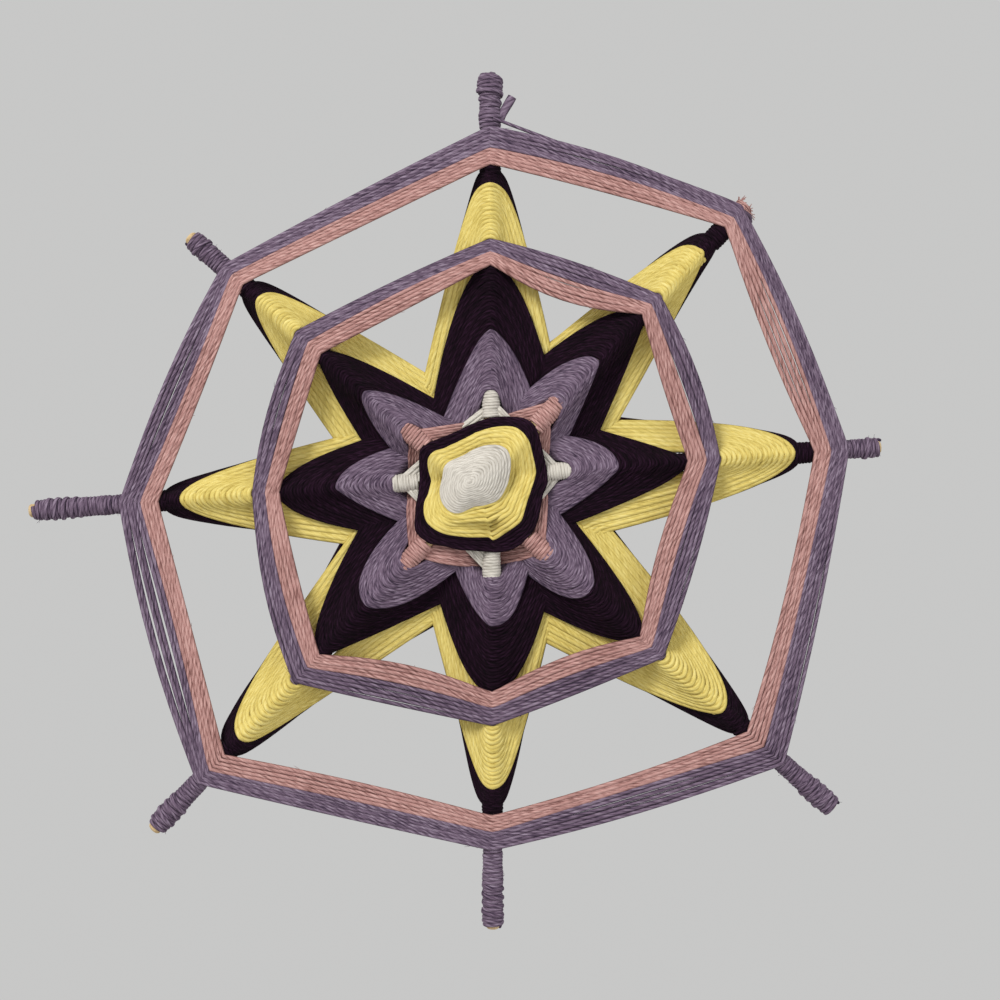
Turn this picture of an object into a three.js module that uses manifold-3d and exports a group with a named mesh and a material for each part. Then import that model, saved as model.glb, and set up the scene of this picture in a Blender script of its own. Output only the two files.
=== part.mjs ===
// Gods eye wall hanging: four lapped wooden dowels wound with yarn, in millimetres, +Z up, +X right.
// The front faces -Y and the wall plane is y = 0. The origin is on the wall plane at the top end of
// the upright dowel, where the piece hangs. Every shape is first laid out around the crossing of the
// upright pair as x, height and depth in front of the wall, and moved to the origin at the end.

import * as THREE from "three";
import { mergeVertices } from "three/addons/utils/BufferGeometryUtils.js";
import Module from "manifold-3d";

const wasm = await Module();
wasm.setup();

// Driving dimensions
const DOWEL_LENGTH = 304.8;
const DOWEL_RADIUS = 2.38;
const GAP = 0.3; // between any two pieces
const TOP_END = 144.6; // from the crossing to the hanging point
const CROSS = {
  rear: { x: 0, z: 0, depth: 12.0 },
  front: { x: -5.7, z: -5.1, depth: 17.1 },
};
const LAP_WIDTH = 5.6;
const HALF_SECTOR = Math.tan(Math.PI / 8);

// The eight arms, clockwise from the top: bearing in degrees, and the dowel's end from its crossing
const ARMS = [
  { name: "n", cross: "rear", bearing: 359.8, end: 143.2 },
  { name: "ne", cross: "front", bearing: 43.5, end: 139.2 },
  { name: "e", cross: "rear", bearing: 85.7, end: 139.4 },
  { name: "se", cross: "front", bearing: 131.6, end: 169.4 },
  { name: "s", cross: "rear", bearing: 179.8, end: 161.6 },
  { name: "sw", cross: "front", bearing: 223.5, end: 165.6 },
  { name: "w", cross: "rear", bearing: 265.7, end: 165.4 },
  { name: "nw", cross: "front", bearing: 311.6, end: 135.4 },
];

// Distance from the crossing to the outer edge of each winding, measured along each arm
//                     n      ne     e      se     s      sw     w      nw
const REACH = {
  eye: /*          */ [0.0, 18.4, 0.0, 10.3, 0.0, 12.8, 0.0, 13.4],
  ring_yellow: /*  */ [17.2, 26.4, 15.9, 18.9, 23.1, 20.6, 21.8, 20.4],
  ring_dark: /*    */ [20.7, 31.5, 19.8, 25.2, 26.8, 25.2, 25.9, 23.9],
  tube: /*         */ [31.5, 43.7, 29.7, 34.9, 36.2, 37.2, 35.2, 34.5],
  petal: /*        */ [52.2, 63.4, 45.7, 53.9, 53.5, 55.8, 55.7, 52.6],
  star: /*         */ [75.5, 85.8, 70.3, 78.0, 77.1, 80.0, 76.0, 72.7],
  inner_pink: /*   */ [79.9, 90.3, 77.1, 83.3, 82.5, 86.0, 80.8, 78.8],
  inner_lavender: /**/ [84.4, 94.7, 81.6, 88.7, 88.7, 93.2, 85.0, 84.4],
  yellow: /*       */ [104.1, 116.4, 108.2, 117.1, 111.5, 121.0, 111.4, 102.1],
  tip: /*          */ [111.0, 128.2, 115.3, 128.1, 120.9, 128.3, 118.9, 109.6],
  outer_pink: /*   */ [116.9, 132.5, 121.2, 136.4, 126.6, 136.2, 125.2, 114.7],
  outer_lavender: /**/ [124.4, 136.8, 127.5, 145.5, 132.9, 142.1, 132.7, 118.8],
};

// A strand leaves an arm in a rounded point: at q * q mm inwards from its tip it stands a * q + b * q * q
// mm to the side. ccw and cw are the two sides of the arm, and the rows are the arms in order.
const SPREAD = {
  petal: [
    { ccw: [2.75, 0.04], cw: [3.2, 0.0] },
    { ccw: [2.55, -0.05], cw: [0.7, 0.28] },
    { ccw: [2.8, 0.0], cw: [3.0, 0.03] },
    { ccw: [2.75, -0.08], cw: [2.55, -0.06] },
    { ccw: [3.3, -0.1], cw: [3.0, 0.0] },
    { ccw: [2.5, 0.04], cw: [3.6, -0.18] },
    { ccw: [2.4, 0.16], cw: [3.0, 0.0] },
    { ccw: [3.1, -0.2], cw: [1.3, 0.18] },
  ],
  star: [
    { ccw: [3.3, -0.06], cw: [3.3, 0.0] },
    { ccw: [3.3, -0.12], cw: [0.95, 0.28] },
    { ccw: [0.7, 0.31], cw: [1.75, 0.17] },
    { ccw: [2.25, 0.0], cw: [2.7, 0.03] },
    { ccw: [3.6, -0.03], cw: [3.2, 0.0] },
    { ccw: [0.7, 0.34], cw: [3.0, 0.03] },
    { ccw: [3.2, -0.05], cw: [2.9, 0.0] },
    { ccw: [1.6, 0.15], cw: [1.9, 0.06] },
  ],
  yellow: [
    { ccw: [2.35, 0.05], cw: [2.75, 0.01] },
    { ccw: [2.9, -0.085], cw: [0.6, 0.24] },
    { ccw: [2.5, -0.05], cw: [2.5, 0.03] },
    { ccw: [2.7, -0.02], cw: [2.15, 0.12] },
    { ccw: [2.6, 0.01], cw: [2.45, 0.02] },
    { ccw: [1.4, 0.17], cw: [2.6, -0.04] },
    { ccw: [2.5, 0.02], cw: [2.4, -0.01] },
    { ccw: [2.25, 0.05], cw: [2.5, 0.0] },
  ],
};
const TIP_NARROWING = 0.84; // the dark tips follow the yellow points, a little narrower

// How far a ring's edge bows outwards halfway to the next arm clockwise, in mm, a column for each span
//                      n-ne  ne-e  e-se  se-s  s-sw  sw-w  w-nw  nw-n
const BOW = {
  inner_edge: /*   */ [-4.6, -0.7, -2.1, -2.9, -3.2, 0.4, 0.0, -0.4],
  inner_pink: /*   */ [-1.1, 0.4, -1.1, -1.1, -1.4, 2.1, 0.7, 1.4],
  inner_lavender: /**/ [1.8, 2.9, 1.8, 0.7, 0.4, 2.9, 2.1, 0.7],
  outer_edge: /*   */ [0.5, -1.8, 1.8, 1.8, -1.1, 0.0, -0.4, 0.0],
  outer_pink: /*   */ [2.1, 2.1, 0.7, -0.4, -0.4, -1.1, -0.4, 0.7],
  outer_lavender: /**/ [2.9, 2.1, 0.7, 2.1, 0.4, 2.9, 1.8, 0.7],
};

// How far a layer over a dowel has dropped at a given distance aside of the dowel's axis
const OVER_EDGE = { aside: 1.7, drop: 0.45 };
const BESIDE = 3.4;

// Star windings, front to back: thickness over a dowel and of the legs, drops beside the dowel, the depth
// of the legs' front faces halfway down, in the valleys, behind the front pair and behind the rear pair,
// and how much of their width is taken off inside in the valleys and where they cross behind other arms
const BEHIND = { low: 3, high: 11 }; // distances aside of a rear dowel, between which the legs rise
const LAYER = {
  petal: {
    over: 1.3,
    legs: 1.4,
    drops: [OVER_EDGE, { aside: BESIDE, drop: 1.5 }],
    half: { rear: 14.0, front: 18.1 },
    valley: 13.6,
    plateau: 13.0,
    back: 6.7,
    pinch: [0.17, 0.6],
  },
  star: {
    over: 1.3,
    legs: 1.4,
    drops: [OVER_EDGE, { aside: BESIDE, drop: 2.4 }],
    half: { rear: 12.2, front: 13.6 },
    valley: 11.0,
    plateau: 11.0,
    back: 5.0,
    pinch: [0, 0],
  },
  yellow: {
    over: 1.5,
    legs: 1.4,
    drops: [OVER_EDGE, { aside: BESIDE, drop: 3.2 }],
    half: { rear: 10.4, front: 12.2 },
    valley: 8.6,
    plateau: 8.6,
    back: 3.3,
    pinch: [0, 0],
  },
  tip: {
    over: 1.2,
    legs: 1.2,
    drops: [OVER_EDGE, { aside: BESIDE, drop: 3.1 }, { aside: 5.6, drop: 6.3 }],
    half: { rear: 8.0, front: 9.4 },
    valley: 6.2,
    plateau: 6.2,
    back: 1.6,
    pinch: [0, 0],
  },
};

const COLOUR = {
  wood: 0xc9b088,
  white: 0xdad7cf,
  yellow: 0xe3d072,
  dark: 0x1e1024,
  pink: 0xc0908a,
  lavender: 0x75667f,
};

// Plan geometry
const next = (k, step = 1) => (k + step + 8) % 8;
const direction = (k) => {
  const angle = THREE.MathUtils.degToRad(ARMS[k].bearing);
  return { x: Math.sin(angle), z: Math.cos(angle) };
};

// A point along arm k, moved aside by a distance that counts clockwise
function armPoint(k, along, aside = 0) {
  const u = direction(k);
  const c = CROSS[ARMS[k].cross];
  return { x: c.x + along * u.x + aside * u.z, z: c.z + along * u.z - aside * u.x };
}

function spreadPoint(k, tip, q, side, spread, extra) {
  const [a, b] = spread[k][side];
  const aside = a * q + b * q * q + extra;
  return armPoint(k, tip - q * q, side === "cw" ? aside : -aside);
}

// The q at which a strand stands a given distance aside
function asideQ(k, aside, side, spread) {
  const [a, b] = spread[k][side];
  return Math.abs(b) < 0.005 ? aside / a : (-a + Math.sqrt(a * a + 4 * b * aside)) / (2 * b);
}

// The q at which a strand reaches the line halfway to the next arm
function valleyQ(k, tip, side, spread) {
  const [a, b] = spread[k][side];
  const s = b + HALF_SECTOR;
  return (-a + Math.sqrt(a * a + 4 * s * tip * HALF_SECTOR)) / (2 * s);
}

const mix = (p, q, t) => ({ x: p.x + (q.x - p.x) * t, z: p.z + (q.z - p.z) * t });
const apart = (p, q) => Math.hypot(p.x - q.x, p.z - q.z);

// The share of the way from p to q at which that line stands a given distance aside of arm k
function crossingShare(p, q, k, aside = 0) {
  const u = direction(k);
  const c = CROSS[ARMS[k].cross];
  const side = (r) => (r.x - c.x) * u.z - (r.z - c.z) * u.x;
  return (aside - side(p)) / (side(q) - side(p));
}

// Solids
function toSolid(geometry) {
  let g = geometry.index ? geometry : geometry.clone();
  g.deleteAttribute("normal");
  g.deleteAttribute("uv");
  g = mergeVertices(g, 1e-4);
  const flat = new Float32Array(g.attributes.position.array);
  const tris = new Uint32Array(g.index.array);
  const keep = [];
  for (let i = 0; i < tris.length; i += 3) {
    const [a, b, c] = [tris[i], tris[i + 1], tris[i + 2]];
    if (a !== b && b !== c && a !== c) keep.push(a, b, c);
  }
  return new wasm.Manifold(
    new wasm.Mesh({ numProp: 3, vertProperties: flat, triVerts: new Uint32Array(keep) })
  );
}

// Joins sections of four corners (inner front, outer front, outer back, inner back) into one body
function loft(sections, closed) {
  const position = [];
  for (const s of sections) {
    const corners = [
      [s.inner, s.front[0]],
      [s.outer, s.front[1]],
      [s.outer, s.front[1] - s.thick],
      [s.inner, s.front[0] - s.thick],
    ];
    for (const [p, depth] of corners) position.push(p.x, -depth, p.z);
  }
  const index = [];
  const n = sections.length;
  const last = closed ? n : n - 1;
  for (let i = 0; i < last; i += 1) {
    for (let j = 0; j < 4; j += 1) {
      const a = 4 * i + j;
      const b = 4 * i + ((j + 1) % 4);
      const c = 4 * ((i + 1) % n) + ((j + 1) % 4);
      const d = 4 * ((i + 1) % n) + j;
      index.push(a, b, c, a, c, d);
    }
  }
  if (!closed) {
    const e = 4 * (n - 1);
    index.push(0, 2, 1, 0, 3, 2);
    index.push(e, e + 1, e + 2, e, e + 2, e + 3);
  }
  const g = new THREE.BufferGeometry();
  g.setAttribute("position", new THREE.Float32BufferAttribute(position, 3));
  g.setIndex(index);
  const solid = toSolid(g);
  if (solid.volume() > 0) return solid;
  for (let i = 0; i < index.length; i += 3) [index[i], index[i + 1]] = [index[i + 1], index[i]];
  g.setIndex(index);
  return toSolid(g);
}

// Turns a closed profile of [radius, along] points around arm k
function turned(k, profile, sides = 12) {
  const points = profile.map(([radius, along]) => new THREE.Vector2(radius, along));
  points.push(points[0].clone());
  const g = new THREE.LatheGeometry(points, sides);
  const u = direction(k);
  const c = CROSS[ARMS[k].cross];
  const matrix = new THREE.Matrix4().makeBasis(
    new THREE.Vector3(u.z, 0, -u.x),
    new THREE.Vector3(u.x, 0, u.z),
    new THREE.Vector3(0, -1, 0)
  );
  matrix.setPosition(c.x, -c.depth, c.z);
  g.applyMatrix4(matrix);
  const solid = toSolid(g);
  if (solid.volume() > 0) return solid;
  const i = g.index.array;
  for (let t = 0; t < i.length; t += 3) [i[t], i[t + 1]] = [i[t + 1], i[t]];
  return toSolid(g);
}

// A sleeve of the given radius around arm k, its bore clear of the dowel on the flats between sides
function sleeve(k, from, to, radius, grow = 0, sides = 12) {
  const bore = (DOWEL_RADIUS + GAP) / Math.cos(Math.PI / sides) - grow;
  return turned(
    k,
    [
      [bore, from - grow],
      [radius + grow, from - grow],
      [radius + grow, to + grow],
      [bore, to + grow],
    ],
    sides
  );
}

const frontOf = (k) => CROSS[ARMS[k].cross].depth + DOWEL_RADIUS + GAP;

// One strand bundle from arm k over to arm k + 3. Its inner edge has the tips in from and the first
// spread, its outer edge those in to and the second spread. It passes the pieces inside at a clear aside.
function bundle(k, from, to, spreads, layer, clear, grow) {
  const ends = [
    { arm: k, side: "cw" },
    { arm: next(k, 3), side: "ccw" },
  ];
  const last = layer.drops.length + 2;
  const legs = ends.map(({ arm, side }) => {
    const inside = clear ? asideQ(arm, clear, side, spreads[0]) ** 2 : 0;
    const tips = [from[arm] + inside - grow, to[arm] + grow];
    const points = tips.map((tip, j) => {
      const at = (q) => spreadPoint(arm, tip, q, side, spreads[j], j === 0 ? GAP - grow : grow);
      const near = layer.drops.map(({ aside }) => asideQ(arm, aside, side, spreads[j]));
      const q = near[near.length - 1];
      const valley = valleyQ(arm, tip, side, spreads[j]);
      const apex = armPoint(arm, tip, (side === "cw" ? -1 : 1) * (0.06 + grow));
      return [apex, ...near.map(at), at(q + (valley - q) * 0.48), at(valley)];
    });
    const cross = ARMS[arm].cross;
    const front = frontOf(arm) + layer.over + grow;
    const drops = layer.drops.map(({ drop }) => front - drop);
    const depth = [front, ...drops, layer.half[cross] + grow, layer.valley + grow];
    const pairs = depth.map((_, i) => [points[0][i], points[1][i]]);
    pairs[last][0] = mix(pairs[last][0], pairs[last][1], layer.pinch[0]);
    return { pairs, depth };
  });
  const section = (pair, depth, thick) => ({
    inner: pair[0],
    outer: pair[1],
    front: [depth, depth],
    thick: thick + 2 * grow,
  });
  const legSection = (leg, i) => section(leg.pairs[i], leg.depth[i], i < 2 ? layer.over : layer.legs);
  const sections = legs[0].pairs.map((_, i) => legSection(legs[0], i));
  const [start, finish] = legs.map((leg) => leg.pairs[last]);
  const { low, high } = BEHIND;
  const behind = next(k, ARMS[k].cross === "rear" ? 2 : 1);
  for (const aside of [-high, -low, low, high]) {
    const share = [0, 1].map((j) => crossingShare(start[j], finish[j], behind, aside));
    if (Math.min(...share) < 0.03 || Math.max(...share) > 0.97) continue;
    const pair = share.map((t, j) => mix(start[j], finish[j], t));
    const depth = (Math.abs(aside) === high ? layer.plateau : layer.back) + grow;
    sections.push(section([mix(pair[0], pair[1], layer.pinch[1]), pair[1]], depth, layer.legs));
  }
  for (let i = last; i >= 0; i -= 1) sections.push(legSection(legs[1], i));
  return loft(sections, false);
}

function starWinding(from, to, spreads, layer, clear, grow = 0) {
  return wasm.Manifold.union(ARMS.map((_, k) => bundle(k, from, to, spreads, layer, clear, grow)));
}

// A ring over all eight arms. Its level drops beside a front dowel no sooner than the dowel's side does.
function ring(inner, outer, innerBow, outerBow, over, thick, shares, grow = 0) {
  const sections = [];
  const add = (pair, depth) =>
    sections.push({ inner: pair[0], outer: pair[1], front: [depth, depth], thick: thick + 2 * grow });
  ARMS.forEach((arm, k) => {
    const far = next(k);
    const falling = arm.cross === "front";
    const ends = [k, far].map((n) => [armPoint(n, inner[n] - grow), armPoint(n, outer[n] + grow)]);
    const depth = [frontOf(k) + over + grow, frontOf(far) + over + grow];
    const [high, low] = falling ? depth : [depth[1], depth[0]];
    const top = falling ? 0 : 1;
    const u = direction(falling ? k : far);
    add(ends[0], depth[0]);
    const wide = ends[top].map((p, j) => {
      const q = ends[1 - top][j];
      return Math.abs((q.x - p.x) * u.z - (q.z - p.z) * u.x);
    });
    const rows = [
      { t: wide.map((w) => OVER_EDGE.aside / w), drop: OVER_EDGE.drop },
      { t: wide.map((w) => BESIDE / w), drop: 2.6 },
    ];
    for (const t of shares) rows.push({ t: [t, t], drop: Infinity });
    if (!falling) rows.reverse();
    for (const row of rows) {
      const pair = row.t.map((share, j) => {
        const t = falling ? share : 1 - share;
        const [a, b] = [ends[0][j], ends[1][j]];
        const p = mix(a, b, t);
        const bow = ((j === 0 ? innerBow[k] : outerBow[k]) * (4 * t * (1 - t)) ** 2) / apart(a, b);
        return { x: p.x - (b.z - a.z) * bow, z: p.z + (b.x - a.x) * bow };
      });
      add(pair, Math.max(high - row.drop, high + (low - high) * row.t[1]));
    }
  });
  return loft(sections, true);
}

// Adds a sleeve around each dowel, where the ring's yarn goes around it
function woundRing(inner, outer, innerBow, outerBow, grow = 0) {
  const parts = [ring(inner, outer, innerBow, outerBow, 1.5, 1.5, [0.36, 0.64, 0.88], grow)];
  ARMS.forEach((_, k) => parts.push(sleeve(k, inner[k] + 0.5, outer[k] - 2, DOWEL_RADIUS + 1.7, grow, 8)));
  return wasm.Manifold.union(parts);
}

// A square on one crossing: coiled tubes and the bands that join them behind the other dowels
function square(first, from, to, radius, width, leave, levels, thick, grow = 0) {
  const parts = [];
  for (let k = first; k < 8; k += 2) {
    const far = next(k, 2);
    const between = next(k);
    parts.push(sleeve(k, from[k], to[k], radius, grow));
    const edge = (arm, share) => from[arm] + 0.4 + (to[arm] - from[arm] - 0.8) * share;
    const pair = (arm, side) => [
      armPoint(arm, edge(arm, width[0]) - grow, side * 2.95),
      armPoint(arm, edge(arm, width[1]) + grow, side * 2.95),
    ];
    const [a, b] = [pair(k, 1), pair(far, -1)];
    const top = CROSS[ARMS[k].cross].depth + leave + grow;
    const rows = levels.map(({ aside, depth }) => ({
      depth: depth + grow,
      pair: [0, 1].map((j) => mix(a[j], b[j], crossingShare(a[j], b[j], between, aside))),
    }));
    const all = [{ pair: a, depth: top }, ...rows, { pair: b, depth: top }];
    const sections = all.map(({ pair: p, depth }) => ({
      inner: p[0],
      outer: p[1],
      front: [depth, depth],
      thick: thick + 2 * grow,
    }));
    parts.push(loft(sections, false));
  }
  return wasm.Manifold.union(parts);
}

// The white eye: a low dome over the crossing of the diagonal pair, its outline a row of
// [bearing in degrees, radius] around its middle
const EYE_CENTRE = { x: -5.1, z: -1.6 };
const EYE_OUTLINE = [
  [10, 14.2],
  [28, 15.4],
  [42, 16.2],
  [58, 14.6],
  [80, 12.0],
  [104, 10.9],
  [122, 11.8],
  [140, 13.0],
  [160, 12.0],
  [184, 11.4],
  [208, 12.6],
  [226, 14.6],
  [246, 14.4],
  [268, 12.6],
  [290, 11.5],
  [306, 12.4],
  [324, 12.6],
  [348, 13.0],
];
const EYE_BASE = 19.8;
const EYE_LEVELS = [
  { share: 1.0, depth: 21.0 },
  { share: 0.82, depth: 22.6 },
  { share: 0.5, depth: 24.2 },
  { share: 0.2, depth: 25.3 },
];

function eye(grow = 0) {
  const position = [];
  const row = (share, depth) => {
    for (const [bearing, radius] of EYE_OUTLINE) {
      const angle = THREE.MathUtils.degToRad(bearing);
      const r = radius * share + grow;
      position.push(EYE_CENTRE.x + r * Math.sin(angle), -depth, EYE_CENTRE.z + r * Math.cos(angle));
    }
  };
  row(0.97, EYE_BASE - grow);
  for (const { share, depth } of EYE_LEVELS) row(share, depth + grow);
  const n = EYE_OUTLINE.length;
  const rows = EYE_LEVELS.length + 1;
  position.push(EYE_CENTRE.x, -EYE_BASE + grow, EYE_CENTRE.z);
  position.push(EYE_CENTRE.x, -25.7 - grow, EYE_CENTRE.z);
  const index = [];
  for (let r = 0; r + 1 < rows; r += 1) {
    for (let i = 0; i < n; i += 1) {
      const j = (i + 1) % n;
      index.push(r * n + i, (r + 1) * n + i, (r + 1) * n + j, r * n + i, (r + 1) * n + j, r * n + j);
    }
  }
  for (let i = 0; i < n; i += 1) {
    const j = (i + 1) % n;
    index.push(rows * n, i, j, rows * n + 1, (rows - 1) * n + j, (rows - 1) * n + i);
  }
  const g = new THREE.BufferGeometry();
  g.setAttribute("position", new THREE.Float32BufferAttribute(position, 3));
  g.setIndex(index);
  const solid = toSolid(g);
  if (solid.volume() > 0) return solid;
  for (let i = 0; i < index.length; i += 3) [index[i], index[i + 1]] = [index[i + 1], index[i]];
  g.setIndex(index);
  return toSolid(g);
}

// A dowel with small rounded edges at its ends and half its thickness cut away at the crossing
function dowel(k, keepsFront) {
  const back = next(k, 4);
  const [a, b] = [ARMS[k].end, -ARMS[back].end];
  const edge = 0.5;
  const body = turned(
    k,
    [
      [0, b],
      [DOWEL_RADIUS - edge, b],
      [DOWEL_RADIUS, b + edge],
      [DOWEL_RADIUS, a - edge],
      [DOWEL_RADIUS - edge, a],
      [0, a],
    ],
    16
  );
  const other = next(k, 2);
  const cutter = new THREE.BoxGeometry(LAP_WIDTH, DOWEL_RADIUS + 1, 40);
  const u = direction(other);
  const c = CROSS[ARMS[k].cross];
  const shift = (DOWEL_RADIUS + 1) / 2 - GAP / 2;
  const matrix = new THREE.Matrix4().makeBasis(
    new THREE.Vector3(u.z, 0, -u.x),
    new THREE.Vector3(0, 1, 0),
    new THREE.Vector3(u.x, 0, u.z)
  );
  matrix.setPosition(c.x, -c.depth + (keepsFront ? shift : -shift), c.z);
  cutter.applyMatrix4(matrix);
  return body.subtract(toSolid(cutter));
}

// A coil of turns on a dowel's end. waist rows give [share of the length, radius].
function endWrap(k, waist, close = false) {
  const from = REACH.outer_lavender[k] + GAP + 0.2;
  const to = ARMS[k].end - (close ? 0 : 1.5);
  const bore = DOWEL_RADIUS + GAP + 0.14;
  const outline = waist.map(([share, radius]) => [radius, from + (to - from) * share]);
  if (!close) return turned(k, [[bore, from], ...outline, [bore, to]], 10);
  const top = ARMS[k].end + GAP;
  return turned(k, [[bore, from], ...outline, [2.2, top + 0.9], [0, top + 1.1], [0, top], [bore, top]], 10);
}

// The flat yarn end that sticks out of the top wrap, and the knot at the end without a wrap
function tail() {
  const rows = [
    { inner: { x: 2.95, z: 128.0 }, outer: { x: 3.5, z: 127.5 } },
    { inner: { x: 3.3, z: 131.6 }, outer: { x: 5.3, z: 129.7 } },
    { inner: { x: 5.9, z: 136.4 }, outer: { x: 8.2, z: 134.4 } },
  ];
  return loft(
    rows.map((row) => ({ ...row, front: [12.9, 12.9], thick: 1.2 })),
    false
  );
}

function knot() {
  const from = REACH.outer_lavender[1] + GAP;
  const bore = DOWEL_RADIUS + GAP + 0.14;
  const profile = [
    [bore, from],
    [3.4, from],
    [4.1, from + 0.8],
    [3.6, from + 1.7],
    [bore, from + 1.7],
  ];
  return turned(1, profile, 10);
}

// Windings, each trimmed by those in front of it
const reach = (name, add = 0) => REACH[name].map((r) => r + add);
const tipSpread = SPREAD.yellow.map(({ ccw, cw }) => ({
  ccw: ccw.map((v) => v * TIP_NARROWING),
  cw: cw.map((v) => v * TIP_NARROWING),
}));
const flatBow = new Array(8).fill(0);
const RING_START = [13.0, 19.3, 8.0, 12.2, 16.6, 13.6, 18.7, 15.2];

const WHITE_LEVELS = [{ aside: 0, depth: 14.35 }];
const PINK_LEVELS = [
  { aside: -BEHIND.high, depth: 14.5 },
  { aside: -BEHIND.low, depth: 8.2 },
  { aside: BEHIND.low, depth: 8.2 },
  { aside: BEHIND.high, depth: 14.5 },
];

const shapes = {
  eye_white: (g) => eye(g),
  ring_yellow: (g) => ring(RING_START, REACH.ring_yellow, flatBow, flatBow, 1.3, 1.3, [], g),
  ring_dark: (g) => ring(reach("ring_yellow", GAP), REACH.ring_dark, flatBow, flatBow, 1.4, 1.4, [], g),
  square_white: (g) =>
    square(0, reach("ring_dark", GAP), REACH.tube, 3.5, [0, 0.3], 1.3, WHITE_LEVELS, 1.0, g),
  square_pink: (g) =>
    square(1, reach("ring_dark", GAP), REACH.tube, 3.7, [0.2, 0.75], 0.6, PINK_LEVELS, 1.2, g),
  petals_lavender: (g) =>
    starWinding(reach("tube", GAP), REACH.petal, [SPREAD.petal, SPREAD.petal], LAYER.petal, 4.1, g),
  star_dark: (g) =>
    starWinding(reach("petal", GAP), REACH.star, [SPREAD.petal, SPREAD.star], LAYER.star, 0, g),
  ring_inner_pink: (g) =>
    woundRing(reach("star", 3 * GAP), REACH.inner_pink, BOW.inner_edge, BOW.inner_pink, g),
  ring_inner_lavender: (g) =>
    woundRing(reach("inner_pink", GAP), REACH.inner_lavender, BOW.inner_pink, BOW.inner_lavender, g),
  star_yellow: (g) =>
    starWinding(
      reach("inner_lavender", GAP),
      REACH.yellow,
      [SPREAD.yellow, SPREAD.yellow],
      LAYER.yellow,
      4.1,
      g
    ),
  tips_dark: (g) => starWinding(reach("yellow", 1.6), REACH.tip, [tipSpread, tipSpread], LAYER.tip, 0, g),
  ring_outer_pink: (g) =>
    woundRing(reach("tip", 3 * GAP), REACH.outer_pink, BOW.outer_edge, BOW.outer_pink, g),
  ring_outer_lavender: (g) =>
    woundRing(reach("outer_pink", GAP), REACH.outer_lavender, BOW.outer_pink, BOW.outer_lavender, g),
};

const colourOf = {
  eye_white: "white",
  ring_yellow: "yellow",
  ring_dark: "dark",
  square_white: "white",
  square_pink: "pink",
  petals_lavender: "lavender",
  star_dark: "dark",
  ring_inner_pink: "pink",
  ring_inner_lavender: "lavender",
  star_yellow: "yellow",
  tips_dark: "dark",
  ring_outer_pink: "pink",
  ring_outer_lavender: "lavender",
};

const solids = {};
const names = Object.keys(shapes);
names.forEach((name, i) => {
  let solid = shapes[name](0);
  for (const other of names.slice(0, i)) {
    if (solid.minGap(solids[other], GAP) < 0.6 * GAP) solid = solid.subtract(shapes[other](GAP));
  }
  solids[name] = solid;
});

// The dowels, and the wraps on their ends
const dowels = { dowel_upright: 0, dowel_diagonal_rising: 1, dowel_level: 2, dowel_diagonal_falling: 3 };
for (const [name, k] of Object.entries(dowels)) solids[name] = dowel(k, k >= 2);

const PLAIN_WAIST = [
  [0, 3.6],
  [0.6, 3.6],
  [0.86, 3.8],
  [1, 3.5],
];
const BULB_WAIST = [
  [0, 3.6],
  [0.35, 3.8],
  [0.6, 3.6],
  [0.8, 4.7],
  [0.95, 4.3],
];
ARMS.forEach((arm, k) => {
  if (arm.name === "ne") return;
  const close = arm.name === "n";
  const wrap = endWrap(k, close ? BULB_WAIST : PLAIN_WAIST, close);
  solids[`wrap_${arm.name}`] = close ? wrap.add(tail()) : wrap;
});
solids.knot_ne = knot();

// Meshes
const part = new THREE.Group();
for (const [name, solid] of Object.entries(solids)) {
  const mesh = solid.getMesh();
  const geometry = new THREE.BufferGeometry();
  geometry.setAttribute("position", new THREE.Float32BufferAttribute(mesh.vertProperties, 3));
  geometry.setIndex(new THREE.Uint32BufferAttribute(mesh.triVerts, 1));
  geometry.translate(0, 0, -TOP_END);
  geometry.computeVertexNormals();
  const wood = name.startsWith("dowel");
  const colour = wood ? COLOUR.wood : COLOUR[colourOf[name] ?? (name === "knot_ne" ? "pink" : "lavender")];
  const material = new THREE.MeshStandardMaterial({
    color: colour,
    roughness: wood ? 0.6 : 0.95,
    metalness: 0,
  });
  const piece = new THREE.Mesh(geometry, material);
  piece.name = name;
  part.add(piece);
}

export default part;
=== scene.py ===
"""Gods eye wall hanging: yarn wound over four lapped dowels.

Measures are in millimetres, taken from the crossing of the upright pair of dowels: x to the right, height
upwards and depth out from the plane that the piece hangs against. They become metres in the part's frame when
a mesh is made. The eight arms are numbered clockwise from the top, and a list of eight holds one value for
each arm in that order.
"""

import math

import bpy
import numpy as np
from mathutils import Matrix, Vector


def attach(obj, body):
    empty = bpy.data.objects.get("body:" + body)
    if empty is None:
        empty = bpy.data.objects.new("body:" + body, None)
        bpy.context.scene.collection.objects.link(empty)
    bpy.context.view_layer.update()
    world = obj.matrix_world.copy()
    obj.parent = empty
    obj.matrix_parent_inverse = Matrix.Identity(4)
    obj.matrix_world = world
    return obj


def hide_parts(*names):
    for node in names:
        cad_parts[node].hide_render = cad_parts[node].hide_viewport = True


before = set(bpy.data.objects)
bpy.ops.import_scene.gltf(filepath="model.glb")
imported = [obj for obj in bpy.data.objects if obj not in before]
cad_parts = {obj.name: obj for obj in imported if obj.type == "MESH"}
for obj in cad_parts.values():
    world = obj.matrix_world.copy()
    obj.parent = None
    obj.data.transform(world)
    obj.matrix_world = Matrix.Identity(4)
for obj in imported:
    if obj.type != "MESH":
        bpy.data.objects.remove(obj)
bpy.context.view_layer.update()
bpy.ops.object.select_all(action="DESELECT")
chance = np.random.default_rng(11)
FULL_TURN = 2 * math.pi

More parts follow.
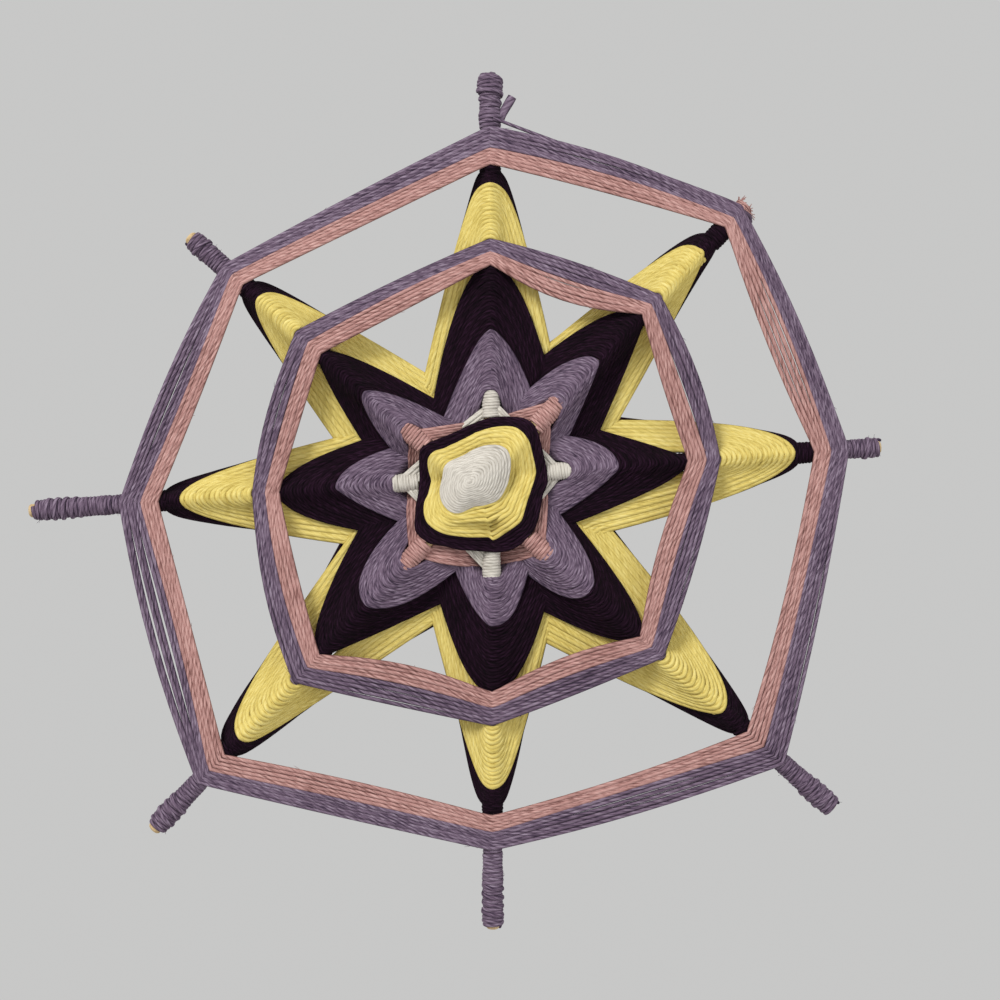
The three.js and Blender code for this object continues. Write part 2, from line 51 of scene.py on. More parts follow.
# measures shared with the part's source
DOWEL = 2.38
TOP_END = 144.6
CROSS = {"rear": (0.0, 0.0, 12.0), "front": (-5.7, -5.1, 17.1)}
ARM_NAMES = ["n", "ne", "e", "se", "s", "sw", "w", "nw"]
BEARING = [359.8, 43.5, 85.7, 131.6, 179.8, 223.5, 265.7, 311.6]
END = [143.2, 139.2, 139.4, 169.4, 161.6, 165.6, 165.4, 135.4]
REACH = {
    "ring_dark": [20.7, 31.5, 19.8, 25.2, 26.8, 25.2, 25.9, 23.9],
    "tube": [31.5, 43.7, 29.7, 34.9, 36.2, 37.2, 35.2, 34.5],
    "petal": [52.2, 63.4, 45.7, 53.9, 53.5, 55.8, 55.7, 52.6],
    "star": [75.5, 85.8, 70.3, 78.0, 77.1, 80.0, 76.0, 72.7],
    "inner_pink": [79.9, 90.3, 77.1, 83.3, 82.5, 86.0, 80.8, 78.8],
    "inner_lavender": [84.4, 94.7, 81.6, 88.7, 88.7, 93.2, 85.0, 84.4],
    "yellow": [104.1, 116.4, 108.2, 117.1, 111.5, 121.0, 111.4, 102.1],
    "tip": [111.0, 128.2, 115.3, 128.1, 120.9, 128.3, 118.9, 109.6],
    "outer_pink": [116.9, 132.5, 121.2, 136.4, 126.6, 136.2, 125.2, 114.7],
    "outer_lavender": [124.4, 136.8, 127.5, 145.5, 132.9, 142.1, 132.7, 118.8],
}
# how a strand spreads from an arm's tip, anticlockwise then clockwise: (start, slope, curve), where the
# spread is start + slope q + curve q squared and q is the square root of the way back along the arm
PETAL_START = [[(2.7, 0.4, 0.14)] * 2] * 8
PETAL_SPREAD = [
    [(-1.4, 2.3, 0.17), (-2.8, 3.77, -0.03)],
    [(-0.9, 3.75, -0.28), (-0.2, 0.5, 0.32)],
    [(-1.0, 4.5, -0.33), (-1.9, 2.45, 0.26)],
    [(0.0, 3.3, -0.13), (0.3, 3.6, -0.34)],
    [(2.0, 2.6, -0.04), (-1.85, 3.0, 0.07)],
    [(-3.0, 4.8, -0.3), (-1.5, 5.2, -0.5)],
    [(-2.1, 2.27, 0.24), (-1.5, 4.17, -0.24)],
    [(-0.45, 2.34, -0.08), (-2.45, 2.96, -0.04)],
]
STAR_SPREAD = [
    [(0.0, 3.3, -0.06), (0.0, 3.3, 0.0)],
    [(0.0, 3.3, -0.12), (0.0, 0.95, 0.28)],
    [(0.0, 0.7, 0.31), (0.0, 1.75, 0.17)],
    [(0.0, 2.25, 0.0), (0.0, 2.7, 0.03)],
    [(0.0, 3.6, -0.03), (0.0, 3.2, 0.0)],
    [(0.0, 0.7, 0.34), (0.0, 3.0, 0.03)],
    [(0.0, 3.2, -0.05), (0.0, 2.9, 0.0)],
    [(0.0, 1.6, 0.15), (0.0, 1.9, 0.06)],
]
YELLOW_START = [[(2.5, 0.0, 0.09)] * 2] * 8
YELLOW_SPREAD = [
    [(3.0, 1.2, 0.16), (2.2, 1.75, 0.1)],
    [(4.2, 1.25, 0.05), (0.0, 0.9, 0.2)],
    [(0.3, 3.0, -0.12), (0.0, 2.6, 0.02)],
    [(1.0, 2.55, -0.01), (-0.6, 2.2, 0.12)],
    [(2.2, 1.16, 0.17), (1.6, 1.1, 0.19)],
    [(2.6, 0.5, 0.2), (2.3, 1.9, 0.03)],
    [(0.2, 1.9, 0.1), (0.3, 2.1, 0.03)],
    [(0.3, 2.0, 0.1), (2.3, 1.5, 0.09)],
]
TIP_SPREAD = [
    [(2.8, 0.73, 0.18), (2.8, 1.19, 0.12)],
    [(2.8, 1.77, -0.045), (2.6, -0.1, 0.235)],
    [(2.8, 1.7, 0.0), (2.8, 1.3, 0.12)],
    [(2.8, 0.9, 0.14), (2.8, 0.63, 0.19)],
    [(2.8, 0.93, 0.12), (2.8, 1.25, 0.05)],
    [(2.8, 1.08, 0.03), (2.8, 2.0, -0.055)],
    [(2.8, 1.22, 0.077), (2.8, 1.07, 0.084)],
    [(2.8, 0.91, 0.145), (2.8, 1.33, 0.047)],
]
# the length of the close dark coil on each arm between its dark tip and the outer ring
NECK = [1.2, 5.5, 5.0, 1.0, 2.8, 0.8, 1.0, 1.2]
# how far a ring's edge bows out between each arm and the next one clockwise
BOW = {
    "inner_edge": [-4.6, -0.7, -2.1, -2.9, -3.2, 0.4, 0.0, -0.4],
    "inner_pink": [-1.1, 0.4, -1.1, -1.1, -1.4, 2.1, 0.7, 1.4],
    "inner_lavender": [1.8, 2.9, 1.8, 0.7, 0.4, 2.9, 2.1, 0.7],
    "outer_edge": [0.5, -1.8, 1.8, 1.8, -1.1, 0.0, -0.4, 0.0],
    "outer_pink": [2.1, 2.1, 0.7, -0.4, -0.4, -1.1, -0.4, 0.7],
    "outer_lavender": [2.9, 2.1, 0.7, 2.1, 0.4, 2.9, 1.8, 0.7],
}


# places on the dowels
def pointing(k):
    """The way that arm k points, to the right and upwards."""
    turn = math.radians(BEARING[k % 8])
    return math.sin(turn), math.cos(turn)


def side_of(k):
    return "rear" if k % 2 == 0 else "front"


def dowel_depth(k):
    return CROSS[side_of(k)][2]


def on_arm(k, along, aside=0.0, depth=0.0):
    """A place by arm k: along it, aside clockwise, and its depth."""
    ux, uz = pointing(k)
    cx, cz, _ = CROSS[side_of(k)]
    return (cx + along * ux + aside * uz, cz + along * uz - aside * ux, depth)


def round_arm(k, along, out, angle):
    """A place at a distance out from the middle line of arm k, at an angle from its front."""
    return on_arm(k, along, out * math.sin(angle), dowel_depth(k) + out * math.cos(angle))


def aside_of(place, k):
    """How far a place stands clockwise of the middle line of arm k."""
    ux, uz = pointing(k)
    cx, cz, _ = CROSS[side_of(k)]
    return (place[0] - cx) * uz - (place[1] - cz) * ux


def along_of(place, k):
    """How far along arm k a place lies, from the crossing of its pair."""
    ux, uz = pointing(k)
    cx, cz, _ = CROSS[side_of(k)]
    return (place[0] - cx) * ux + (place[1] - cz) * uz


def relax(values, times):
    """Evens out a row of values and leaves its two ends."""
    values = np.array(values, float)
    for _ in range(times):
        values[1:-1] = 0.25 * values[:-2] + 0.5 * values[1:-1] + 0.25 * values[2:]
    return values


# yarn as meshes
CUT_END = 0.45  # the inner rim of a strand's cut end, as a share of the strand
FIBRE = [0.075, 0.075, 0.07, 0.06, 0.04]  # radius of a loose fibre from root to tip
LOOP_STEPS = 14  # places in one turn round a dowel


def unit(rows):
    return rows / (np.linalg.norm(rows, axis=1)[:, None] + 1e-12)


def link_object(name, data):
    thing = bpy.data.objects.new(name, data)
    bpy.context.scene.collection.objects.link(thing)
    return thing


class Skein:
    """Collects strands of one yarn and turns them into one mesh."""

    def __init__(self, name):
        self.name = name
        self.verts, self.faces, self.twist, self.tone = [], [], [], []
        self.count = 0

    def lay(self, places, radius, across=None, normal=(0.0, 0.0, 1.0), closed=False, sides=8, tone=None):
        """A strand through the places. Its section is radius wide and across thick along normal."""
        tone = chance.uniform(0, 1) if tone is None else tone
        line = np.array(places, float)
        line = np.stack([line[:, 0], -line[:, 2], line[:, 1] - TOP_END], axis=1)
        if closed:
            tangent = np.roll(line, -1, axis=0) - np.roll(line, 1, axis=0)
            steps = np.roll(line, -1, axis=0) - line
        else:
            tangent = np.gradient(line, axis=0)
            steps = np.diff(line, axis=0)
        length = np.concatenate([[0], np.cumsum(np.linalg.norm(steps, axis=1))])
        tangent = unit(tangent)
        facing = np.array([normal[0], -normal[2], normal[1]], float)
        up = unit(facing - (tangent @ facing)[:, None] * tangent)
        out = np.cross(tangent, up)

        rows, start = len(line), self.count
        width = np.broadcast_to(np.asarray(radius, float), (rows,))
        height = np.broadcast_to(np.asarray(radius if across is None else across, float), (rows,))
        angle = np.arange(sides) / sides * FULL_TURN
        wide = np.cos(angle)[None, :, None] * out[:, None, :] * width[:, None, None]
        high = np.sin(angle)[None, :, None] * up[:, None, :] * height[:, None, None]
        rims = line[:, None, :] + wide + high
        self.verts.append(rims.reshape(-1, 3))
        self.tone.append(np.full(rows * sides, tone))
        self.count += rows * sides

        last = rows if closed else rows - 1
        i, j = np.arange(last)[:, None], np.arange(sides)[None, :]
        here, ahead, beside = start + i * sides, start + (i + 1) % rows * sides, (j + 1) % sides
        quads = [here + j, here + beside, ahead + beside, ahead + j]
        self.faces.append(np.stack(quads, axis=-1).reshape(-1, 4))
        # a coil's turns meet beside each other along the arm, so the painted shade where strands meet lies a
        # quarter turn on
        turn = 0.0 if normal[2] else 0.25
        u0, u1 = (np.broadcast_to(length[n : last + n, None], (last, sides)) for n in (0, 1))
        v0, v1 = (np.broadcast_to((j + n) / sides + turn, (last, sides)) for n in (0, 1))
        self.twist.append(np.stack([u0, v0, u0, v1, u1, v1, u1, v0], axis=-1).reshape(-1, 2))
        if not closed:
            self.close_end(rims[0], start, tone, False)
            self.close_end(rims[-1], start + (rows - 1) * sides, tone, True)

    def close_end(self, rim, first, tone, far):
        """Closes a strand's cut end with a smaller rim and a few quads across it."""
        sides, base = len(rim), self.count
        middle = rim.mean(axis=0)
        self.verts.append(middle + (rim - middle) * CUT_END)
        self.tone.append(np.full(sides, tone))
        self.count += sides
        j = np.arange(sides)
        n = (j + 1) % sides
        quads = np.stack([first + n, first + j, base + j, base + n], axis=-1)
        end = base + sides
        across = [[base + k, end - 1 - k, end - 2 - k, base + k + 1] for k in range(sides // 2 - 1)]
        quads = np.concatenate([quads, np.array(across)])
        if far:
            quads = quads[:, ::-1]
        self.faces.append(quads)
        self.twist.append(np.tile([[0.0, 0.5]], (len(quads) * 4, 1)))

    def fray(self, places, count, radius, tone):
        """Fine loose fibres that stand off a strand."""
        for _ in range(count):
            i = int(chance.integers(0, len(places) - 1))
            here, there = np.array(places[i]), np.array(places[i + 1])
            ahead = (there - here) / (np.linalg.norm(there - here) + 1e-9)
            out = chance.uniform(-1, 1, 3)
            out -= ahead * (out @ ahead)
            out /= np.linalg.norm(out)
            here = here + (there - here) * chance.uniform(0, 1)
            length, bend = chance.uniform(0.8, 2.2), chance.uniform(-0.6, 0.6)
            fibre = []
            for t in np.linspace(0, 1, len(FIBRE)):
                stand_off = out * (0.7 * radius + 0.5 * length * t)
                fibre.append(here + stand_off + ahead * length * (t + bend * t * t))
            self.lay(fibre, FIBRE, sides=4, tone=tone)

    def to_piece(self, material, node):
        """Makes the mesh, in metres, which stands for the node."""
        mesh = bpy.data.meshes.new(self.name)
        verts = np.concatenate(self.verts) / 1000
        mesh.from_pydata(verts.tolist(), [], np.concatenate(self.faces).tolist())
        layer = mesh.uv_layers.new(name="twist")
        layer.data.foreach_set("uv", np.concatenate(self.twist).astype("f").ravel())
        tone = mesh.attributes.new("tone", "FLOAT", "POINT")
        tone.data.foreach_set("value", np.concatenate(self.tone).astype("f"))
        mesh.shade_smooth()
        mesh.materials.append(material)
        piece = link_object(self.name, mesh)
        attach(piece, "root")
        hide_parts(node)


def loop_round(skein, k, along, radius, thin, gap=0.0, slant=0.0, tone=None):
    """One turn of yarn closely round arm k."""
    out = DOWEL + thin + gap
    places = []
    for i in range(LOOP_STEPS):
        turn = i / LOOP_STEPS * FULL_TURN
        places.append(round_arm(k, along + slant * math.cos(turn), out, turn))
    skein.lay(places, thin, radius, normal=(*pointing(k), 0.0), closed=True, sides=6, tone=tone)


def coil(skein, k, start, stop, pitch, width, thin, swell, loose=0.0):
    """A close coil on arm k over what swells beneath it. Loose is how many fibres stand off each turn."""
    pressed, uneven = 0.92, 0.12
    turns = (stop - start) / pitch
    steps = int(turns * LOOP_STEPS)
    tone = chance.uniform(0, 1)
    wobble = chance.uniform(-1, 1, int(turns) + 3)
    places, radii, widths = [], [], []
    for i in range(steps + 1):
        t = i / steps
        turn = t * turns
        bump = wobble[int(turn)] * (1 - turn % 1) + wobble[int(turn) + 1] * (turn % 1)
        out = DOWEL + thin * pressed + uneven * bump + swell(t)
        places.append(round_arm(k, start + (stop - start) * t + uneven * bump, out, turn * FULL_TURN))
        radii.append(thin * (1 + 0.05 * bump))
        widths.append(width * (1 + 0.04 * bump))
    skein.lay(places, radii, widths, normal=(*pointing(k), 0.0), tone=tone)
    skein.fray(places, int(turns * loose), thin, tone)


# materials
def linear(hex_colour):
    values = [int(hex_colour[i : i + 2], 16) / 255 for i in (0, 2, 4)]
    return [v / 12.92 if v <= 0.04045 else ((v + 0.055) / 1.055) ** 2.4 for v in values]


class Finish:
    """A material and the nodes that make its colour and relief."""

    def __init__(self, name, roughness):
        self.material = bpy.data.materials.new(name)
        self.material.use_nodes = True
        self.nodes, self.links = self.material.node_tree.nodes, self.material.node_tree.links
        self.shader = self.nodes["Principled BSDF"]
        self.shader.inputs["Roughness"].default_value = roughness

    def add(self, kind, joined, values=None, operation=None):
        node = self.nodes.new("ShaderNode" + kind)
        if operation:
            node.operation = operation
        for socket, value in (values or {}).items():
            node.inputs[socket].default_value = value
        for socket, source in joined.items():
            self.links.new(source, node.inputs[socket])
        return node.outputs[0]

    def place(self):
        return self.nodes.new("ShaderNodeTexCoord").outputs["Object"]

    def scaled(self, value, times, added=None):
        """A value times a number, with another value added."""
        joined = {0: value} if added is None else {0: value, 2: added}
        return self.add("Math", joined, {1: times, 2: 0.0}, "MULTIPLY_ADD")

    def noise(self, vector, scale, detail=2.0, roughness=0.5):
        values = {"Scale": scale, "Detail": detail, "Roughness": roughness}
        return self.add("TexNoise", {"Vector": vector}, values)

    def stretched(self, value, low, high):
        return self.add("MapRange", {"Value": value}, {"From Min": low, "From Max": high})

    def colour(self, value, shade, middle, light):
        """Blends three colours by the value. Each is a place on the scale and a colour."""
        ramp = self.nodes.new("ShaderNodeValToRGB")
        stops = ramp.color_ramp.elements
        stops[0].position, stops[1].position = shade[0], light[0]
        stops[0].color, stops[1].color = (*linear(shade[1]), 1), (*linear(light[1]), 1)
        stops.new(middle[0]).color = (*linear(middle[1]), 1)
        self.links.new(value, ramp.inputs[0])
        self.links.new(ramp.outputs[0], self.shader.inputs["Base Color"])

    def relief(self, height, strength, distance):
        normal = self.add("Bump", {"Height": height}, {"Strength": strength, "Distance": distance})
        self.links.new(normal, self.shader.inputs["Normal"])


def yarn_material(name, colour, shade, light, ply, streak, seam_shade, sheen=0.25):
    """Soft plied yarn: grooves wind slowly round the strand, with painted shade in them, and painted shade
    darkens the strand where it meets its neighbours.

    Ply is how deep the grooves are and how dark their painted shade is, streak how strongly the fibres show,
    and the seam weight how dark the painted shade is where strands meet.
    """
    plies, pitch = 4, 15.0
    tone_share, dye_share, groove_shade_share = 0.14, 0.25, ply * 0.6
    yarn = Finish(name, 0.92)
    yarn.shader.inputs["Sheen Weight"].default_value = sheen
    yarn.shader.inputs["Sheen Roughness"].default_value = 0.5
    yarn.shader.inputs["Sheen Tint"].default_value = (*linear(light), 1)
    yarn.shader.inputs["Specular IOR Level"].default_value = 0.12
    twist = yarn.nodes.new("ShaderNodeUVMap")
    twist.uv_map = "twist"
    split = yarn.nodes.new("ShaderNodeSeparateXYZ")
    yarn.links.new(twist.outputs[0], split.inputs[0])
    along, around = split.outputs[0], split.outputs[1]
    strand = yarn.nodes.new("ShaderNodeAttribute")
    strand.attribute_name = "tone"
    tone = strand.outputs["Fac"]
    place = yarn.place()

    turned = yarn.scaled(along, 1 / pitch, around)
    turned = yarn.scaled(tone, 3.7, turned)
    turned = yarn.scaled(yarn.noise(place, 160, 1), 0.12, turned)
    wave = yarn.add("Math", {0: yarn.scaled(turned, plies * FULL_TURN)}, operation="SINE")
    groove = yarn.stretched(wave, -1.0, 1.0)
    lengthwise = yarn.add(
        "CombineXYZ",
        {0: yarn.scaled(along, 0.22), 1: yarn.scaled(turned, 8.0), 2: yarn.scaled(tone, 40.0)},
    )
    fibres = yarn.stretched(yarn.noise(lengthwise, 1.0, 3, 0.65), 0.3, 0.7)
    # painted shade: darker along the two sides of each strand, where it meets its neighbours
    side = yarn.add("Math", {0: yarn.scaled(around, FULL_TURN)}, operation="COSINE")
    painted_seam_shade = yarn.add("Math", {0: side}, {1: 4.0}, "POWER")

    blend = yarn.scaled(fibres, streak)
    blend = yarn.scaled(painted_seam_shade, -seam_shade, blend)
    # painted shade in the ply grooves, lighter on the ridges between them; the same wave also drives the
    # relief below
    blend = yarn.scaled(groove, groove_shade_share, blend)
    blend = yarn.scaled(tone, tone_share, blend)
    blend = yarn.scaled(yarn.noise(place, 70), dye_share, blend)
    full = streak + groove_shade_share + tone_share + dye_share
    yarn.colour(yarn.scaled(blend, 1 / full), (0.22, shade), (0.52, colour), (0.85, light))
    yarn.relief(yarn.scaled(groove, ply, yarn.scaled(fibres, 0.5)), 0.5, 0.0002)
    return yarn.material


def dowel_material(name, bearing):
    """Pale bare hardwood with fine grain along the dowel."""
    wood = Finish(name, 0.62)
    place = wood.place()
    turned = wood.add("Mapping", {0: place}, {"Rotation": (0, math.radians(bearing), 0)})
    lengthwise = wood.add("Mapping", {0: turned}, {"Scale": (1500, 1500, 60)})
    grain = wood.noise(lengthwise, 1.0, 4)
    blend = wood.scaled(grain, 0.7, wood.scaled(wood.noise(place, 60), 0.3))
    wood.colour(blend, (0.3, "8F6F45"), (0.48, "C6AA7C"), (0.68, "D9C29B"))
    wood.relief(grain, 0.3, 0.0001)
    return wood.material


WHITE = yarn_material("white_yarn", "CFCAC1", "ABA69D", "DFDBD2", ply=0.2, streak=0.4, seam_shade=0.15)
YELLOW = yarn_material("lemon_yarn", "D9C673", "BBA656", "E8D990", ply=0.15, streak=0.35, seam_shade=0.2)
DARK = yarn_material("plum_yarn", "170614", "060206", "2D172B", ply=0.35, streak=0.5, seam_shade=0.2, sheen=0.02)
PINK = yarn_material("dusty_pink_yarn", "B08681", "744F4B", "CFA9A3", ply=0.3, streak=0.6, seam_shade=0.28)
LAVENDER = yarn_material("grey_lavender_yarn", "6D5C6F", "382D3E", "998B9D", ply=0.3, streak=0.6, seam_shade=0.3)

# the dowels, with the bearing of their grain
DOWELS = {
    "dowel_upright": 0,
    "dowel_diagonal_rising": 43.5,
    "dowel_level": 85.7,
    "dowel_diagonal_falling": 131.6,
}
for node, bearing in DOWELS.items():
    dowel = bpy.data.objects[node]
    wood = dowel_material("wood_" + node, bearing)
    if not dowel.material_slots:
        dowel.data.materials.append(wood)
    for material_slot in dowel.material_slots:
        material_slot.material = wood

# the middle: eye, yellow ring and dark ring, as closed curves round one point
MIDDLE = (-5.2, -1.6)
ROUND_STEPS = 144
EYE_TOP = {"x": -7.4, "height": -2.2, "depth": 25.1}
EYE_FALL = 4.4  # from the eye's top to its edge
EYE_EDGE = [
    (-16.0, 4.1), (-9.9, 7.3), (-4.9, 9.9), (-0.5, 10.9), (3.4, 10.6), (6.0, 8.8), (6.9, 5.0), (6.5, 0.0),
    (5.2, -4.4), (2.3, -8.7), (-3.4, -10.9), (-7.1, -11.9), (-12.1, -13.3), (-15.5, -11.9), (-17.7, -8.7),
    (-18.2, -5.0), (-17.3, -0.7),
]  # fmt: skip
YELLOW_EDGE = [
    (-20.2, 8.6), (-16.2, 9.8), (-9.6, 13.2), (-3.1, 16.4), (2.0, 17.3), (7.6, 17.2), (11.0, 15.4),
    (13.4, 11.9), (14.8, 7.0), (15.9, 2.4), (15.6, -0.7), (13.6, -6.4), (11.8, -12.2), (10.2, -16.4),
    (6.0, -19.6), (0.9, -22.9), (-0.9, -21.9), (-7.3, -21.7), (-12.5, -21.2), (-16.9, -20.3), (-21.1, -17.9),
    (-23.3, -14.9), (-23.6, -9.9), (-22.1, -6.1), (-21.2, -1.5), (-22.2, 3.1), (-21.8, 6.6),
]  # fmt: skip
DARK_EDGE = [
    (-19.6, 12.3), (-23.0, 10.8), (-24.9, 8.6), (-25.1, 3.9), (-25.2, -0.9), (-25.7, -5.7), (-26.4, -12.5),
    (-26.6, -19.1), (-22.7, -23.1), (-18.0, -24.2), (-13.1, -25.3), (-8.5, -26.1), (2.2, -26.7), (8.0, -25.7),
    (13.7, -20.7), (16.1, -16.0), (17.2, -11.4), (18.0, -6.8), (19.8, -2.2), (19.2, 2.4), (17.7, 9.7),
    (15.7, 16.7), (13.7, 19.0), (10.7, 20.3), (6.1, 20.6), (1.5, 20.5), (-3.1, 19.7), (-8.0, 17.6),
    (-13.1, 15.1),
]  # fmt: skip


def edge_radius(edge):
    """Turns a drawn edge into its distance from the middle at each bearing."""
    x, z = [], []
    for i in range(len(edge)):
        before, here, after, beyond = (np.array(edge[(i + n) % len(edge)]) for n in (-1, 0, 1, 2))
        for t in np.arange(12) / 12:
            # a smooth curve through the four points
            spot = 0.5 * (
                2 * here
                + (after - before) * t
                + (2 * before - 5 * here + 4 * after - beyond) * t * t
                + (3 * here - before - 3 * after + beyond) * t**3
            )
            x.append(spot[0] - MIDDLE[0])
            z.append(spot[1] - MIDDLE[1])
    x, z = np.array(x), np.array(z)
    angle = np.arctan2(x, z) % FULL_TURN
    order = np.argsort(angle)
    angle, r = angle[order], np.hypot(x, z)[order]
    angle = np.concatenate([angle - FULL_TURN, angle, angle + FULL_TURN])
    return np.interp(np.arange(ROUND_STEPS) / ROUND_STEPS * FULL_TURN, angle, np.concatenate([r, r, r]))


def middle_place(r, i, depth):
    turn = i / ROUND_STEPS * FULL_TURN
    return (MIDDLE[0] + r * math.sin(turn), MIDDLE[1] + r * math.cos(turn), depth)


def middle_depths(radii, radius, stack):
    """The depth of a taut strand over the high front pair and the low rear pair of dowels."""
    clear, too_close, half = DOWEL + radius, 7, ROUND_STEPS // 2
    spots = [middle_place(radii[i], i, 0) for i in range(ROUND_STEPS)]
    marks, heights = [], []
    lowest = np.zeros(ROUND_STEPS)
    for k in (1, 3, 5, 7, 0, 2, 4, 6):
        off = np.array([abs(aside_of(spot, k)) if along_of(spot, k) >= 0 else 99.0 for spot in spots])
        mark = int(np.argmin(off))
        if side_of(k) == "front":
            over = dowel_depth(k) + np.sqrt(np.maximum(clear**2 - off**2, 0)) + stack
            lowest = np.where(off < clear, np.maximum(lowest, over), lowest)
        elif min(abs((mark - m + half) % ROUND_STEPS - half) for m in marks[:4]) < too_close:
            # the strand passes high over a rear arm that lies just beside a front one
            continue
        marks.append(mark)
        heights.append(dowel_depth(k) + clear + stack)
    order = np.argsort(marks)
    xs, ys = np.array(marks, float)[order], np.array(heights)[order]
    xs = np.concatenate([xs - ROUND_STEPS, xs, xs + ROUND_STEPS])
    ys = np.concatenate([ys, ys, ys])
    depth = np.maximum(np.interp(np.arange(ROUND_STEPS), xs, ys), lowest)
    ring = np.concatenate([depth[-6:], depth, depth[:6]])
    return relax(ring, 3)[6:-6] + 0.15


def wind_middle_ring(skein, inner, outer, turns, radius, stack=0.0):
    """Taut rounds from one drawn edge out to the next."""
    for j in range(turns):
        s = (j + 0.5) / turns
        radii = inner + (outer - inner) * s + relax(chance.uniform(-0.25, 0.25, ROUND_STEPS), 4)
        depth = middle_depths(radii, radius, stack)
        places = [middle_place(radii[i], i, depth[i] - 0.25 * (j % 2)) for i in range(ROUND_STEPS)]
        skein.lay(places, radius, closed=True)


def rise_over_arms(place):
    """How far a place on the eye lies over a front arm: 1 on its middle line, 0 away from it."""
    rise = 0.0
    for k in (1, 3, 5, 7):
        if along_of(place, k) > 0:
            rise = max(rise, math.exp(-((abs(aside_of(place, k)) / 3.6) ** 2)))
    return rise


def wind_eye(skein, edge, radius, turns):
    """Rounds that grow over a low dome, from the middle out to the edge, and two rounds beneath the edge."""
    for j in range(turns + 2):
        s = min((j + 0.45) / (turns - 0.55), 1.0)
        low = max(j - turns + 1, 0)
        growth = 0.3 / turns * (1 if low == 0 and s < 1 else 0)
        wander = relax(chance.uniform(-0.12, 0.12, 150), 3)
        places = []
        for i in range(0, ROUND_STEPS, 2 if s > 0.3 else 6):
            # each round starts a little further out than it began, as one yarn circling outwards
            size = s + (i / ROUND_STEPS - 0.5) * growth
            r = (edge[i] - radius - 0.5 * low) * size + wander[i]
            turn = i / ROUND_STEPS * FULL_TURN
            x = MIDDLE[0] * size + EYE_TOP["x"] * (1 - size) + r * math.sin(turn)
            z = MIDDLE[1] * size + EYE_TOP["height"] * (1 - size) + r * math.cos(turn)
            depth = EYE_TOP["depth"] - EYE_FALL * s**1.8 - 1.15 * low
            places.append((x, z, depth + (0.9 * rise_over_arms((x, z)) - 0.5) * s * s))
        skein.lay(places, radius, closed=True, tone=chance.uniform(0.3, 0.7))


eye_edge, yellow_edge, dark_edge = (edge_radius(edge) for edge in (EYE_EDGE, YELLOW_EDGE, DARK_EDGE))

eye = Skein("yarn_eye")
wind_eye(eye, eye_edge, radius=0.74, turns=14)
eye.to_piece(WHITE, "eye_white")

middle_yellow = Skein("yarn_middle_yellow")
wind_middle_ring(middle_yellow, eye_edge - 0.8, yellow_edge, turns=8, radius=0.9)
middle_yellow.to_piece(YELLOW, "ring_yellow")

middle_dark = Skein("yarn_middle_dark")
wind_middle_ring(middle_dark, yellow_edge + 0.1, dark_edge, turns=5, radius=0.72, stack=0.1)
middle_dark.to_piece(DARK, "ring_dark")

# the two squares: where each band's outer edge leaves its two tubes, and how far it bows out
WHITE_BANDS = {0: (0.47, 0.42, 0.0), 2: (0.49, 0.05, 0.0), 4: (0.73, 0.57, 0.0), 6: (0.66, 0.41, 0.4)}
PINK_BANDS = {1: (0.38, 0.59, 0.4), 3: (0.67, 0.45, 3.8), 5: (0.50, 0.49, 1.2), 7: (0.53, 0.75, -1.0)}
# the depth of a band's front by its distance from the arm that it passes behind
WHITE_DEPTHS = [(0.0, 13.9), (9.0, 14.1), (16.0, 14.0), (21.0, 12.6)]
PINK_DEPTHS = [(0.0, 7.9), (3.0, 8.2), (11.0, 14.8), (15.0, 16.4), (22.0, 17.8)]
BAND_THICK = 2.1


def band_ends(k, share, bands, aside):
    """Where a band's strand leaves its two tubes, and its bow. Share runs from inner to outer edge."""
    outer_a, outer_b, bow = bands[k]
    ends = []
    for arm, outer, sign in ((k, outer_a, 1), ((k + 2) % 8, outer_b, -1)):
        near, far = REACH["ring_dark"][arm] - 0.6, REACH["tube"][arm]
        ends.append(on_arm(arm, near + (far - near) * (outer * share), sign * aside))
    return ends[0], ends[1], bow * share


def band_depth(place, k, depths):
    """The depth of a band's front where it passes behind the arm between its two tubes."""
    return float(np.interp(abs(aside_of(place, (k + 1) % 8)), *zip(*depths)))


def beneath_bands(x, z):
    """The highest a petal's strand may lie: behind the bands, and free to rise outside their edges."""
    band_wide, past_edge, steep = 14, 6, 1.6
    level = 99.0
    for bands, depths in ((WHITE_BANDS, WHITE_DEPTHS), (PINK_BANDS, PINK_DEPTHS)):
        for k in bands:
            a, b, bow = band_ends(k, 1.0, bands, 3.0)
            dx, dz = b[0] - a[0], b[1] - a[1]
            length = math.hypot(dx, dz)
            t = ((x - a[0]) * dx + (z - a[1]) * dz) / length / length
            outside = (-(x - a[0]) * dz + (z - a[1]) * dx) / length - bow * 4 * t * (1 - t)
            if -0.05 < t < 1.05 and -band_wide < outside < past_edge:
                top = band_depth((x, z), k, depths) - BAND_THICK
                level = min(level, top + max(0.0, outside) * steep)
    return level


def wind_band(skein, k, bands, depths, turns, radius):
    """The strands from arm k's tube to the next tube of the square, side by side."""
    for j in range(turns):
        a, b, bow = band_ends(k, (j + 0.6) / turns, bands, 2.4)
        dx, dz = b[0] - a[0], b[1] - a[1]
        length = math.hypot(dx, dz)
        bow += chance.uniform(-0.2, 0.2)
        line = []
        for t in np.linspace(0, 1, 24):
            push = bow * 4 * t * (1 - t)
            x = a[0] + dx * t - dz / length * push
            z = a[1] + dz * t + dx / length * push
            line.append((x, z, band_depth((x, z), k, depths) - radius - 0.4 * (j % 2)))
        depth = relax([d for _, _, d in line], 3)
        skein.lay([(x, z, d) for (x, z, _), d in zip(line, depth)], radius, sides=7)


